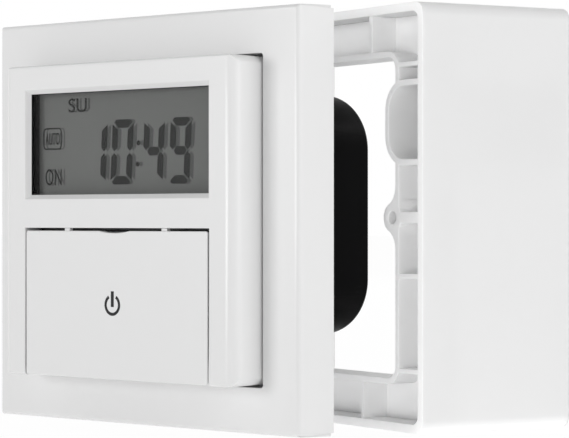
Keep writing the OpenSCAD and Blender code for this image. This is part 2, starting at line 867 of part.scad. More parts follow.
// round capacitor
module smoothing_capacitor() {
    color([0.12, 0.15, 0.3]) union() {
        rod_y(can_r, pb_y1, pb_y1 + can_sleeve, can_x, can_z);
        rod_y(can_top_r, pb_y1, pb_y1 + can_l, can_x, can_z);
    }
}

// varistor disc
module varistor() {
    color([0.15, 0.25, 0.5]) rod_x(disc_r, disc_x, disc_x + disc_t, pb_y1 + disc_r, disc_z);
}

// fusible resistor with its end caps
module fusible_resistor() {
    x1 = resistor_x + resistor_l;
    y = pb_y1 + resistor_cap_r;
    color([0.6, 0.75, 0.65]) union() {
        rod_x(resistor_r, resistor_x, x1, y, resistor_z);
        for (x = [resistor_x, x1 - resistor_cap])
            rod_x(resistor_cap_r, x, x + resistor_cap, y, resistor_z);
    }
}

// rectifier block
module rectifier() {
    color([0.08, 0.08, 0.08])
        on_power_board(rectifier_x, rectifier_z, rectifier_w, rectifier_d, rectifier_h);
}

// plastic body of the terminals
module terminal_block() {
    z1 = term_z0 + term_h;
    color([0.15, 0.15, 0.16]) difference() {
        block(-term_half, term_half, hs_floor - term_d, hs_floor, term_z0, z1);
        for (i = [-1:1]) {
            block(i * term_pitch - clamp_w / 2 - seat, i * term_pitch + clamp_w / 2 + seat,
                hs_floor - clamp_back - clamp_d, hs_floor + over, term_z0 + clamp_up,
                term_z0 + clamp_up + clamp_h + seat);
            rod_z(term_hole_r, term_z0 - over, term_z0 + clamp_up + over, i * term_pitch, term_y);
        }
    }
}

// brass clamps, open to the rear for the wire
module terminal_clamps() {
    z0 = term_z0 + clamp_up;
    for (i = [-1:1]) color([0.75, 0.62, 0.3]) difference() {
        block(i * term_pitch - clamp_w / 2, i * term_pitch + clamp_w / 2,
            hs_floor - clamp_back - clamp_d, hs_floor - clamp_back, z0, z0 + clamp_h);
        block(i * term_pitch - wire_w / 2, i * term_pitch + wire_w / 2,
            hs_floor - clamp_back - clamp_d - over, hs_floor, wire_mid - wire_w / 2, wire_mid + wire_w / 2);
        rod_z(term_screw_r + seat, z0 - over, wire_mid, i * term_pitch, term_y);
    }
}

// slotted screws of the terminals
module terminal_screws() {
    head = 1.8;
    z0 = term_z0 + clamp_up;
    slot_t = 0.6;
    slot_d = 0.7;
    bite = 1;
    for (i = [-1:1]) color([0.7, 0.7, 0.72]) difference() {
        union() {
            rod_z(term_screw_r, z0 - head, wire_mid - wire_w / 2 + bite, i * term_pitch, term_y);
            rod_z(term_head_r, z0 - head, z0, i * term_pitch, term_y);
        }
        block(i * term_pitch - term_head_r - over, i * term_pitch + term_head_r + over,
            term_y - slot_t / 2, term_y + slot_t / 2, z0 - head - over, z0 - head + slot_d);
    }
}

// flared tube with rounded corners
module tube(half, r, grow, y0, y1) {
    thin = 0.01;
    hull() {
        slab(2 * half, 2 * half, r, y0, y0 + thin, $fn = 32);
        slab(2 * (half + grow), 2 * (half + grow), r, y1 - thin, y1, $fn = 32);
    }
}

// rib across the pocket between the curtain and the outer wall
module wall_rib(z, t) {
    block(curtain + seat, box_in + seat, box_recess, web_y + seat, z - t / 2, z + t / 2);
}

// outline of a wall-screw well, seen from the front
module well_shape(out, bulge, top) {
    mid = (well_z0 + top) / 2;
    r = (top - well_z0) / 2 + out;
    x0 = curtain + curtain_t - bulge - out;
    soft = well_soft + out;
    translate([x0 + soft, mid - r]) square([box_in + over - x0 - soft, 2 * r]);
    translate([x0, mid - r + soft]) square([soft + over, 2 * (r - soft)]);
    for (s = [-1, 1]) translate([x0 + soft, mid + s * (r - soft)]) circle(soft);
}

// both wells: the right one bulges into the opening, the left one is lower and flush with the curtain
module wells(out, y0, y1) {
    seen_from_front(y0, y1) well_shape(out, well_out, well_z1);
    mirror([1, 0, 0]) seen_from_front(y0, y1) well_shape(out, 0, flush_z1);
}

// fillet between a boss and the curtain, seen from the front
module boss_fillet() {
    x = curtain - boss_blend;
    z = sqrt(pow(boss_blend + boss_r, 2) - pow(x - slot_pitch / 2, 2));
    difference() {
        polygon([[slot_pitch / 2, 0], [x, z], [curtain + seat, z], [curtain + seat, 0]]);
        translate([x, z]) circle(boss_blend);
    }
}

// an outline drawn as seen from the front, run between two stations along Y
module seen_from_front(y0, y1) {
    translate([0, y1, 0]) rotate([90, 0, 0]) linear_extrude(y1 - y0) children();
}

// box that carries the timer on a wall, in its own frame: front rim at y = 0
module box_body() {
    difference() {
        union() {
            difference() {
                tube(box_w / 2, box_r, box_draft, 0, box_d);
                tube(box_in, box_r - box_wall / 2, box_draft, -over, box_d + over);
            }
            difference() {
                slab(2 * box_in + 2 * seat, 2 * box_in + 2 * seat, box_r, web_y, web_y + web_t);
                slab(mouth_w, mouth_w, box_r, web_y - over, web_y + web_t + over);
            }
            difference() {
                slab(mouth_w + 2 * curtain_t, mouth_w + 2 * curtain_t, box_r + curtain_t, box_recess,
                    web_y + seat);
                slab(mouth_w, mouth_w, box_r, box_recess - over, web_y + 2 * over);
            }
            both_x() for (z = [-rib_z, -rib_low, rib_low, rib_z]) wall_rib(z, rib_t);
            both_x() wall_rib(0, boss_rib);
            both_x() block(rib_top_x - rib_t / 2, rib_top_x + rib_t / 2, box_recess, web_y + seat,
                curtain + seat, box_in + seat);
            both_x() block(rib_bot_x - rib_t / 2, rib_bot_x + rib_t / 2, box_recess, web_y + seat,
                -box_in - seat, -curtain - seat);
            both_x() rod_y(boss_r, box_recess, web_y + web_t + boss_tail, slot_pitch / 2, 0);
            both_x() both_z() seen_from_front(box_recess, web_y + web_t) boss_fillet();
            both_x() block(curtain, curtain + curtain_t + boss_pad_t, box_recess + boss_pad_in,
                web_y + seat, -boss_pad, boss_pad);
            intersection() {
                wells(curtain_t, box_recess, box_d);
                tube(box_w / 2 - seat, box_r, box_draft, 0, box_d);
            }
        }
        intersection() {
            wells(0, -over, box_d - well_floor);
            tube(box_in, box_r - box_wall / 2, box_draft, -over, box_d + over);
        }
        both_x() rod_y(wall_hole_r, box_d - 2 * well_floor, box_d + over, well_x, well_mid);
        both_x() rod_y(boss_hole_r, -over, box_d, slot_pitch / 2, 0);
    }
}

// the loose box behind the timer
module surface_box() {
    color([0.91, 0.91, 0.9]) translate([box_x, box_y - box_recess, box_up]) rotate([0, 0, -box_turn])
        box_body();
}

cover_frame();
front_bezel();
display_lens();
lcd_panel();
lcd_holder();
contact_strips();
flap();
flap_pins();
key_fascia();
for (i = [0:len(KEYS) - 1]) {
    program_cap(i);
    switch_stem(KEYS[i][1] * key_pitch, key_z);
}
reset_button();
power_plunger();
switch_stem(reset_x, plunger_z);  // reset_stem
switch_stem(0, plunger_z);  // power_stem
push_switches();
display_board();
board_screws();
controller();
clock_crystal();
backup_cell();
pin_header();
header_socket();
support_ring();
rear_housing();
housing_screws();
power_board();
power_board_screws();
relay();
mains_capacitor();
smoothing_capacitor();
varistor();
fusible_resistor();
rectifier();
terminal_block();
terminal_clamps();
terminal_screws();
surface_box();
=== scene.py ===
import json
import math
import bmesh
import bpy
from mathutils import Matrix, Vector


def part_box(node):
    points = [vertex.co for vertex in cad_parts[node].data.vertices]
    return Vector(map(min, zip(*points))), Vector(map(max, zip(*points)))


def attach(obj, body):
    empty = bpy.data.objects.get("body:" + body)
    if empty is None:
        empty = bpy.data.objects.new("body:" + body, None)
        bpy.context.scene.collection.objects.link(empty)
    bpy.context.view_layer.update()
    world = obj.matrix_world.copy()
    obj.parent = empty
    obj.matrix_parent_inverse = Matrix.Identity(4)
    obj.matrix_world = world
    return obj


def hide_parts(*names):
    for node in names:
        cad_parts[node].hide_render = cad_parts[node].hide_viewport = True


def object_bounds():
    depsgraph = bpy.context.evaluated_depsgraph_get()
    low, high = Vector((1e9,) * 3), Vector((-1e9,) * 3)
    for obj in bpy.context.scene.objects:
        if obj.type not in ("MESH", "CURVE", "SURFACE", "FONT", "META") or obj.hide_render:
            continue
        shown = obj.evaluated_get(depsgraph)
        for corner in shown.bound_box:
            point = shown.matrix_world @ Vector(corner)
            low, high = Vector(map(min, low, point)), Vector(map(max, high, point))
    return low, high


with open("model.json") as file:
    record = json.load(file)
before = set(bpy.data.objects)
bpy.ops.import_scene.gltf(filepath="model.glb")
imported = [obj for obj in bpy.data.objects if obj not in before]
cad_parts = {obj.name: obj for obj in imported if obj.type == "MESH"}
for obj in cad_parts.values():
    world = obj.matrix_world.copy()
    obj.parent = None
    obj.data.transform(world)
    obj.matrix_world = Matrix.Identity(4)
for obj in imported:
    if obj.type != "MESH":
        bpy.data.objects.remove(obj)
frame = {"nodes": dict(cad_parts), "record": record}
cad_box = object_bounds()

MM = 0.001
NODES = frame["nodes"]
RECORD = frame["record"]
BODY = {n: b for b, ns in RECORD["behaviour"]["bodies"].items() for n in ns}
SLOT = {p["node"]: p["material_slot"] for p in RECORD["subparts"]}
scene = bpy.context.scene
scene.view_settings.view_transform = "Standard"


# ---- shader node groups ----

MIX_A, MIX_B, MIX_RESULT = 6, 7, 2  # the colour sockets of a Mix node
FLOW_SHARE, GRAIN_SHARE = 0.6, 0.4
STREAK_SCALE = (300.0, 6000.0, 9000.0)
BLOOM_SCALE = 420.0
SKIN_OUTPUTS = [("Colour", "NodeSocketColor"), ("Roughness", "NodeSocketFloat"),
                ("Height", "NodeSocketFloat")]


def feed(tree, sock, value):
    """Set a socket to a number, or link it from an output."""
    if isinstance(value, (int, float)):
        sock.default_value = value
    else:
        tree.links.new(value, sock)


def new_group(name, inputs, outputs):
    """Empty shader group with named sockets: (socket name, type, default)."""
    tree = bpy.data.node_groups.new(name, "ShaderNodeTree")
    for label, kind, value in inputs:
        sock = tree.interface.new_socket(label, in_out="INPUT", socket_type=kind)
        sock.default_value = value
    for label, kind in outputs:
        tree.interface.new_socket(label, in_out="OUTPUT", socket_type=kind)
    return tree, tree.nodes.new("NodeGroupInput"), tree.nodes.new("NodeGroupOutput")


def noise(tree, coords, detail, rough, scale):
    n = tree.nodes.new("ShaderNodeTexNoise")
    n.inputs["Detail"].default_value = detail
    n.inputs["Roughness"].default_value = rough
    tree.links.new(coords, n.inputs["Vector"])
    feed(tree, n.inputs["Scale"], scale)
    return n.outputs["Fac"]


def math_node(tree, op, a, b):
    n = tree.nodes.new("ShaderNodeMath")
    n.operation = op
    for sock, value in zip(n.inputs, (a, b)):
        feed(tree, sock, value)
    return n.outputs[0]


def around(tree, fac, amount, middle):
    """middle + (fac - 0.5) * amount, each a number or a socket."""
    swing = math_node(tree, "MULTIPLY", math_node(tree, "SUBTRACT", fac, 0.5), amount)
    return math_node(tree, "ADD", swing, middle)


def tinted(tree, colour, factor):
    n = tree.nodes.new("ShaderNodeMix")
    n.data_type = "RGBA"
    n.blend_type = "MULTIPLY"
    n.inputs["Factor"].default_value = 1.0
    grey = tree.nodes.new("ShaderNodeCombineColor")
    for sock in grey.inputs[:3]:
        tree.links.new(factor, sock)
    tree.links.new(colour, n.inputs[MIX_A])
    tree.links.new(grey.outputs[0], n.inputs[MIX_B])
    return n.outputs[MIX_RESULT]


def make_moulded_group():
    """Moulded plastic: slow change of tone from the flow of the melt, fine spark-eroded grain."""
    tree, gin, gout = new_group(
        "moulded_skin",
        [("Colour", "NodeSocketColor", (0.8, 0.8, 0.8, 1.0)), ("Roughness", "NodeSocketFloat", 0.3),
         ("Tone", "NodeSocketFloat", 0.02), ("Patch", "NodeSocketFloat", 0.04),
         ("Flow Scale", "NodeSocketFloat", 28.0), ("Grain Scale", "NodeSocketFloat", 5000.0)],
        SKIN_OUTPUTS)
    where = tree.nodes.new("ShaderNodeTexCoord").outputs["Object"]
    flow = noise(tree, where, 3.0, 0.5, gin.outputs["Flow Scale"])
    grain = noise(tree, where, 2.0, 0.55, gin.outputs["Grain Scale"])
    tone = around(tree, flow, gin.outputs["Tone"], 1.0)
    tree.links.new(tinted(tree, gin.outputs["Colour"], tone), gout.inputs["Colour"])
    both = math_node(tree, "ADD", math_node(tree, "MULTIPLY", flow, FLOW_SHARE),
                     math_node(tree, "MULTIPLY", grain, GRAIN_SHARE))
    mixed = around(tree, both, gin.outputs["Patch"], gin.outputs["Roughness"])
    tree.links.new(mixed, gout.inputs["Roughness"])
    tree.links.new(grain, gout.inputs["Height"])
    return tree


def make_plated_group():
    """Plated metal: drawn streaks along one axis and cloudy zinc bloom."""
    tree, gin, gout = new_group(
        "plated_skin",
        [("Colour", "NodeSocketColor", (0.6, 0.6, 0.6, 1.0)), ("Roughness", "NodeSocketFloat", 0.35),
         ("Streak", "NodeSocketFloat", 0.12), ("Bloom", "NodeSocketFloat", 0.2)],
        SKIN_OUTPUTS)
    where = tree.nodes.new("ShaderNodeTexCoord").outputs["Object"]
    turn = tree.nodes.new("ShaderNodeMapping")
    turn.inputs["Scale"].default_value = STREAK_SCALE
    tree.links.new(where, turn.inputs["Vector"])
    streak = noise(tree, turn.outputs["Vector"], 3.0, 0.6, 1.0)
    bloom = noise(tree, where, 4.0, 0.6, BLOOM_SCALE)
    tone = math_node(tree, "MULTIPLY", around(tree, bloom, gin.outputs["Bloom"], 1.0),
                     around(tree, streak, gin.outputs["Streak"], 1.0))
    tree.links.new(tinted(tree, gin.outputs["Colour"], tone), gout.inputs["Colour"])
    tree.links.new(around(tree, streak, gin.outputs["Streak"], gin.outputs["Roughness"]),
                   gout.inputs["Roughness"])
    tree.links.new(streak, gout.inputs["Height"])
    return tree


MOULDED = make_moulded_group()
PLATED = make_plated_group()


# ---- materials ----

FINE_BUMP = (0.1, 0.00001)  # strength and distance
PLATED_BUMP = (0.12, 0.00001)


def base_material(name):
    mat = bpy.data.materials.new(name)
    mat.use_nodes = True
    tree = mat.node_tree
    return mat, tree, tree.nodes["Principled BSDF"]


def bump_into(tree, shader, height, strength, distance):
    bump = tree.nodes.new("ShaderNodeBump")
    bump.inputs["Strength"].default_value = strength
    bump.inputs["Distance"].default_value = distance
    tree.links.new(height, bump.inputs["Height"])
    tree.links.new(bump.outputs["Normal"], shader.inputs["Normal"])


def skinned(name, group, values, colour, bump, **sockets):
    """Principled material whose colour, roughness and bump come from a skin group."""
    mat, tree, shader = base_material(name)
    skin = tree.nodes.new("ShaderNodeGroup")
    skin.node_tree = group
    skin.inputs["Colour"].default_value = (*colour, 1.0)
    for label, value in values.items():
        skin.inputs[label].default_value = value
    tree.links.new(skin.outputs["Colour"], shader.inputs["Base Color"])
    tree.links.new(skin.outputs["Roughness"], shader.inputs["Roughness"])
    for label, value in sockets.items():
        shader.inputs[label.replace("_", " ")].default_value = value
    bump_into(tree, shader, skin.outputs["Height"], *bump)
    return mat


def moulded(name, colour, rough, tone=0.02, patch=0.05, grain=5000.0, bump=FINE_BUMP, **sockets):
    values = {"Roughness": rough, "Tone": tone, "Patch": patch, "Grain Scale": grain}
    return skinned(name, MOULDED, values, colour, bump, **sockets)


def plated(name, colour, rough):
    return skinned(name, PLATED, {"Roughness": rough}, colour, PLATED_BUMP, Metallic=1.0)


def lens_material():
    """Clear window: glass for what is seen through it, open to light on its way to the display."""
    mat, tree, shader = base_material("clear_window")
    for label, value in (("Base Color", (0.97, 0.98, 0.97, 1.0)), ("Transmission Weight", 1.0),
                         ("Roughness", 0.02), ("IOR", 1.16)):
        shader.inputs[label].default_value = value
    path = tree.nodes.new("ShaderNodeLightPath").outputs
    passing = math_node(tree, "MAXIMUM", path["Is Shadow Ray"], path["Is Diffuse Ray"])
    clear = tree.nodes.new("ShaderNodeBsdfTransparent")
    clear.inputs["Color"].default_value = (0.95, 0.96, 0.95, 1.0)
    mix = tree.nodes.new("ShaderNodeMixShader")
    tree.links.new(passing, mix.inputs[0])
    tree.links.new(shader.outputs["BSDF"], mix.inputs[1])
    tree.links.new(clear.outputs["BSDF"], mix.inputs[2])
    tree.links.new(mix.outputs["Shader"], tree.nodes["Material Output"].inputs["Surface"])
    return mat


MATERIALS = {
    "white_gloss": moulded("white_gloss", (0.86, 0.86, 0.86), 0.26, 0.012, 0.05, 3500.0,
                           (0.03, 0.000006)),
    "white_satin": moulded("white_satin", (0.88, 0.88, 0.88), 0.55, 0.014, 0.06, 3200.0,
                           (0.06, 0.00001), Specular_IOR_Level=0.12, Subsurface_Weight=0.4,
                           Subsurface_Radius=(1.0, 1.0, 1.0), Subsurface_Scale=0.002),
    "key_white": moulded("key_white", (0.78, 0.78, 0.77), 0.32, 0.02),
    "key_grey": moulded("key_grey", (0.42, 0.44, 0.46), 0.4, 0.03, bump=(0.2, 0.00002)),
    "fascia": moulded("fascia_sheet", (0.62, 0.63, 0.64), 0.45, 0.02, bump=(0.15, 0.00001)),
    "black_plastic": moulded("black_plastic", (0.002, 0.002, 0.0022), 0.24, 0.2, 0.12, 2600.0,
                             (0.16, 0.00002), Specular_IOR_Level=0.02),
    "stem": moulded("switch_stem", (0.03, 0.03, 0.03), 0.45, 0.1),
    "steel": plated("zinc_plated_steel", (0.60, 0.61, 0.63), 0.34),
    "lens": lens_material(),
    "lcd": moulded("display_field", (0.163, 0.163, 0.163), 0.5, 0.05, 0.04, 6000.0,
                   (0.03, 0.000005), Specular_IOR_Level=0.1),
    "elastomer": moulded("elastomer_strip", (0.36, 0.18, 0.17), 0.7, 0.1),
    "board_green": moulded("solder_mask", (0.012, 0.10, 0.035), 0.35, 0.25, 0.1, 1500.0),
    "board_brown": moulded("bare_laminate", (0.26, 0.17, 0.06), 0.55, 0.3, 0.1, 900.0),
    "relay_blue": moulded("relay_case", (0.012, 0.035, 0.14), 0.3, 0.08),
    "capacitor_yellow": moulded("film_capacitor", (0.55, 0.36, 0.03), 0.35, 0.08),
    "sleeve_blue": moulded("shrink_sleeve", (0.012, 0.03, 0.11), 0.28, 0.1),
    "resistor_green": moulded("resistor_lacquer", (0.18, 0.36, 0.27), 0.45, 0.12),
    "brass": plated("plated_brass", (0.72, 0.54, 0.22), 0.3),
}
SEGMENT = moulded("display_segment", (0.016, 0.016, 0.016), 0.5, 0.1, Specular_IOR_Level=0.1)
# Darker grey for the painted shadows that the display's figures cast on its rear reflector.
SEGMENT_PAINTED_SHADOW = moulded("display_shade", (0.084, 0.084, 0.084), 0.5, 0.1, Specular_IOR_Level=0.1)
# Dark ink: real print for the marks and legends, and also the painted shade of the border on the key
# sheet.
PRINT_AND_PAINTED_SHADE = moulded("dark_print_and_painted_shade", (0.016, 0.016, 0.017), 0.5, 0.15, Specular_IOR_Level=0.2)

for name, obj in NODES.items():
    obj.data.materials.clear()
    obj.data.materials.append(MATERIALS[SLOT[name]])


# ---- pieces over the CAD shells ----

IN_PLANE = 0.004 * MM
MERGE = 0.002 * MM
SLIVER = 0.0005 * MM
TOUCH, NEAR, CLOSE = 0.001 * MM, 0.01 * MM, 0.02 * MM
ROUND_SHARP = math.radians(28.0)
ROUND_STEPS = 3
SHADE_SHARP = math.radians(32.0)
FLAT_WEIGHT = 80
DEPTH_AXIS = (0.0, 1.0, 0.0)
UP_AXIS = (0.0, 0.0, 1.0)


def add_piece(name, mesh, body, material):
    obj = bpy.data.objects.new(name, mesh)
    scene.collection.objects.link(obj)
    mesh.materials.clear()
    mesh.materials.append(material)
    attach(obj, body)
    return obj


def plane_edges(bm, point, normal):
    """Sharp edges that lie in a plane."""
    point, normal = Vector(point), Vector(normal).normalized()
    on = {v for v in bm.verts if abs((v.co - point).dot(normal)) < IN_PLANE}
    return [e for e in bm.edges if e.verts[0] in on and e.verts[1] in on
            and len(e.link_faces) == 2 and e.calc_face_angle() > ROUND_SHARP]


def eased_shell(node, planes, flat_deg=0.6, reshape=None):
    """Copy of a CAD shell with its triangles joined and the sharp edges in some planes rounded.

    planes: (point, normal, radius in millimetres); reshape moves points before the rounding."""
    mesh = NODES[node].data.copy()
    mesh.name = node + "_eased"
    bm = bmesh.new()
    bm.from_mesh(mesh)
    bmesh.ops.remove_doubles(bm, verts=bm.verts, dist=MERGE)
    bmesh.ops.dissolve_limit(bm, angle_limit=math.radians(flat_deg), verts=bm.verts, edges=bm.edges)
    if reshape:
        reshape(bm)
    for point, normal, radius in planes:
        edges = plane_edges(bm, point, normal)
        bmesh.ops.bevel(bm, geom=edges, offset=radius * MM, offset_type="OFFSET",
                        segments=ROUND_STEPS, profile=0.5, affect="EDGES", clamp_overlap=False)
    bmesh.ops.triangulate(bm, faces=[f for f in bm.faces if len(f.verts) > 4])
    bmesh.ops.dissolve_degenerate(bm, dist=SLIVER, edges=bm.edges)
    for face in bm.faces:
        face.smooth = True
    for edge in bm.edges:
        edge.smooth = len(edge.link_faces) == 2 and edge.calc_face_angle() < SHADE_SHARP
    bm.to_mesh(mesh)
    bm.free()
    obj = add_piece(node + "_eased", mesh, BODY[node], MATERIALS[SLOT[node]])
    level = obj.modifiers.new("flat faces stay flat", "WEIGHTED_NORMAL")
    level.keep_sharp = True
    level.weight = FLAT_WEIGHT
    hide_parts(node)
    return obj


def front_of(node):
    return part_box(node)[0], DEPTH_AXIS


def rear_of(node):
    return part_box(node)[1], DEPTH_AXIS


MOUNTS = {m["name"]: m for m in RECORD["mounts"]}
BOX_IN = -Vector(MOUNTS["box_bosses"]["axis"])
BOX_RIGHT = BOX_IN.cross(Vector(UP_AXIS))
BOSS_AT = Vector(MOUNTS["box_bosses"]["pos_m"])
BOSS_SET_BACK = 0.9 * MM
RIM_AT = BOSS_AT - BOX_IN * BOSS_SET_BACK
WALL_AT = Vector(MOUNTS["box_wall_face"]["pos_m"])
INK = 0.02 * MM
FLAP_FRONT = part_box("flap")[0].y + INK


def crisp_corners(bm):
    """The frame's four corners, drawn in to a smaller radius."""
    old, new = 3.0 * MM, 0.8 * MM
    rear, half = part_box("cover_frame")[1].y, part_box("cover_frame")[1].x
    for v in bm.verts:
        x, z = abs(v.co.x), abs(v.co.z)
        dx, dz = x - (half - old), z - (half - old)
        if min(dx, dz) > -TOUCH and abs(math.hypot(dx, dz) - old) < CLOSE:
            wall = half if abs(v.co.y - rear) < NEAR else max(x, z)
            v.co.x = math.copysign(wall - (wall - x) * new / old, v.co.x)
            v.co.z = math.copysign(wall - (wall - z) * new / old, v.co.z)


def flap_draft(bm):
    """The flap's face makes room for its print, and its right side runs in above the hinge ear."""
    lo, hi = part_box("flap")
    lip, back = lo.y + 0.35 * MM, lo.y + 1.8 * MM
    ear_top, full = -26.6 * MM, -25.0 * MM
    side_band, draft = 0.6 * MM, 1.3 * MM
    for v in bm.verts:
        if v.co.y < FLAP_FRONT:
            v.co.y = FLAP_FRONT
    for point, normal in (((0, lip, 0), DEPTH_AXIS), ((0, 0, ear_top), UP_AXIS),
                          ((0, 0, full), UP_AXIS)):
        bmesh.ops.bisect_plane(bm, geom=bm.verts[:] + bm.edges[:] + bm.faces[:], dist=TOUCH,
                               plane_co=point, plane_no=normal)
    for v in bm.verts:
        on_side = v.co.x > hi.x - side_band and v.co.z > full - NEAR
        if on_side and lip + NEAR < v.co.y < back + NEAR:
            v.co.x -= draft * (v.co.y - lip) / (back - lip)


def boss_ramps(bm):
    """The pads beside the screw bosses run out into the pocket's wall."""
    pad_depth, pad_half, pocket_wall, drop = 1.7 * MM, 3.45 * MM, 36.0 * MM, 3.2 * MM

    def aside(v):
        return abs((v.co - BOSS_AT).dot(BOX_RIGHT))

    pad = [v for v in bm.verts if abs((v.co - RIM_AT).dot(BOX_IN) - pad_depth) < NEAR
           and abs(v.co.z - BOSS_AT.z) < pad_half]
    out = max(aside(v) for v in pad if aside(v) < pocket_wall)
    for v in pad:
        if abs(aside(v) - out) < CLOSE:
            v.co += BOX_IN * drop


eased_shell("cover_frame", [(*front_of("cover_frame"), 0.15), (*rear_of("cover_frame"), 0.12)],
            reshape=crisp_corners)
eased_shell("front_bezel", [(*front_of("front_bezel"), 0.15)])
eased_shell("flap", [((0.0, FLAP_FRONT, 0.0), DEPTH_AXIS, 0.22)], reshape=flap_draft)
eased_shell("rear_housing", [(*rear_of("rear_housing"), 0.8)])
BOX_SHELL = eased_shell(
    "surface_box", [(RIM_AT, BOX_IN, 0.07), (BOSS_AT, BOX_IN, 0.14), (WALL_AT, BOX_IN, 0.3)],
    flat_deg=0.05, reshape=boss_ramps)
for node in ("power_plunger", "reset_button", "day_key", "hour_key", "minute_key", "program_key"):
    eased_shell(node, [(*front_of(node), 0.3)])


# ---- screws ----

# Shares of the head's radius and height, the recess's width and the shank's radius and length.
HEAD_TAPER = 0.82
RECESS_REACH, RECESS_HEIGHT = 3.6, 1.3
CORE, RIDGE_AT, RIDGE = 0.8, 0.82, 0.16
THREAD_RUN, THREAD_DROP = 0.86, -1.08
HEAD_SIDES, CORE_SIDES, TURN_STEPS, RIDGE_SIDES = 28, 20, 18, 4
SCREW_SHARP = math.radians(35.0)


def geometry_node(tree, kind, links=(), **values):
    """Node with its sockets set by name, and linked from (socket name, output) pairs."""
    node = tree.nodes.new("GeometryNode" + kind)
    for label, value in values.items():
        node.inputs[label.replace("_", " ")].default_value = value
    for label, source in links:
        tree.links.new(source, node.inputs[label])
    return node


def make_screw_tree():
    """Pan head with a cross recess and a threaded shank, set on every point of a mesh."""
    tree = bpy.data.node_groups.new("cross_head_screws", "GeometryNodeTree")
    face = tree.interface
    face.new_socket("Places", in_out="INPUT", socket_type="NodeSocketGeometry")
    for label in ("Head Radius", "Head Height", "Shank Radius", "Shank Length", "Recess Width",
                  "Thread Pitch"):
        face.new_socket(label, in_out="INPUT", socket_type="NodeSocketFloat")
    face.new_socket("Turn", in_out="INPUT", socket_type="NodeSocketVector")
    face.new_socket("Finish", in_out="INPUT", socket_type="NodeSocketMaterial")
    face.new_socket("Screws", in_out="OUTPUT", socket_type="NodeSocketGeometry")
    gin = tree.nodes.new("NodeGroupInput").outputs
    gout = tree.nodes.new("NodeGroupOutput").inputs

    def times(a, b):
        return math_node(tree, "MULTIPLY", a, b)

    def vector(x, y, z):
        node = tree.nodes.new("ShaderNodeCombineXYZ")
        for sock, value in zip(node.inputs, (x, y, z)):
            feed(tree, sock, value)
        return node.outputs[0]

    def raised(geometry, height):
        moved = geometry_node(tree, "Transform", [("Geometry", geometry),
                                                  ("Translation", vector(0.0, 0.0, height))])
        return moved.outputs["Geometry"]

    head = geometry_node(tree, "MeshCone", [("Radius Top", times(gin["Head Radius"], HEAD_TAPER)),
                                            ("Radius Bottom", gin["Head Radius"]),
                                            ("Depth", gin["Head Height"])], Vertices=HEAD_SIDES)
    arms = []
    for wide, long in ((1.0, RECESS_REACH), (RECESS_REACH, 1.0)):
        size = vector(times(gin["Recess Width"], wide), times(gin["Recess Width"], long),
                      times(gin["Head Height"], RECESS_HEIGHT))
        arm = geometry_node(tree, "MeshCube", [("Size", size)])
        arms.append(raised(arm.outputs["Mesh"], gin["Head Height"]))
    cut = geometry_node(tree, "MeshBoolean", [("Mesh 1", head.outputs["Mesh"])]
                        + [("Mesh 2", arm) for arm in arms])
    cut.operation = "DIFFERENCE"
    cut.solver = "EXACT"
    core = geometry_node(tree, "MeshCylinder", [("Radius", times(gin["Shank Radius"], CORE)),
                                                ("Depth", gin["Shank Length"])],
                         Vertices=CORE_SIDES)
    shank = raised(core.outputs["Mesh"], times(gin["Shank Length"], -0.5))
    run = times(gin["Shank Length"], THREAD_RUN)
    ridge_at = times(gin["Shank Radius"], RIDGE_AT)
    turns = math_node(tree, "DIVIDE", run, gin["Thread Pitch"])
    helix = geometry_node(tree, "CurveSpiral", [("Rotations", turns), ("Start Radius", ridge_at),
                                                ("End Radius", ridge_at), ("Height", run)],
                          Resolution=TURN_STEPS)
    ridge = geometry_node(tree, "CurvePrimitiveCircle",
                          [("Radius", times(gin["Shank Radius"], RIDGE))], Resolution=RIDGE_SIDES)
    thread = geometry_node(tree, "CurveToMesh", [("Curve", helix.outputs["Curve"]),
                                                 ("Profile Curve", ridge.outputs["Curve"])],
                           Fill_Caps=True)
    low = raised(thread.outputs["Mesh"], times(run, THREAD_DROP))
    whole = geometry_node(tree, "JoinGeometry",
                          [("Geometry", part) for part in (cut.outputs["Mesh"], shank, low)])
    placed = geometry_node(tree, "InstanceOnPoints", [("Points", gin["Places"]),
                                                      ("Instance", whole.outputs["Geometry"]),
                                                      ("Rotation", gin["Turn"])])
    plain = geometry_node(tree, "RealizeInstances", [("Geometry", placed.outputs["Instances"])])
    coated = geometry_node(tree, "SetMaterial", [("Geometry", plain.outputs["Geometry"]),
                                                 ("Material", gin["Finish"])])
    tree.links.new(coated.outputs["Geometry"], gout["Screws"])
    return tree


SCREWS = make_screw_tree()


def evaluated_mesh(maker):
    """Mesh of an object as its modifiers or its text leave it."""
    bpy.context.view_layer.update()
    seen = maker.evaluated_get(bpy.context.evaluated_depsgraph_get())
    return bpy.data.meshes.new_from_object(seen)


def screws_over(node, places, toward_front, **sizes):
    """Cross-head screws in place of a node's plain ones; places are the heads' seats."""
    points = bpy.data.meshes.new(node + "_places")
    points.from_pydata(places, [], [])
    maker = bpy.data.objects.new(node + "_maker", points)
    scene.collection.objects.link(maker)
    mod = maker.modifiers.new("screws", "NODES")
    mod.node_group = SCREWS
    finish = MATERIALS[SLOT[node]]
    wanted = {label.replace("_", " "): value * MM for label, value in sizes.items()}
    wanted["Turn"] = (math.radians(90.0 if toward_front else -90.0), 0.0, 0.0)
    wanted["Finish"] = finish
    for item in SCREWS.interface.items_tree:
        if item.in_out == "INPUT" and item.name in wanted:
            mod[item.identifier] = wanted[item.name]
    mesh = evaluated_mesh(maker)
    mesh.name = node + "_cross"
    maker.modifiers.clear()
    bpy.data.objects.remove(maker)
    mesh.shade_smooth()
    mesh.set_sharp_from_angle(angle=SCREW_SHARP)
    piece = add_piece(node + "_cross", mesh, BODY[node], finish)
    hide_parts(node)


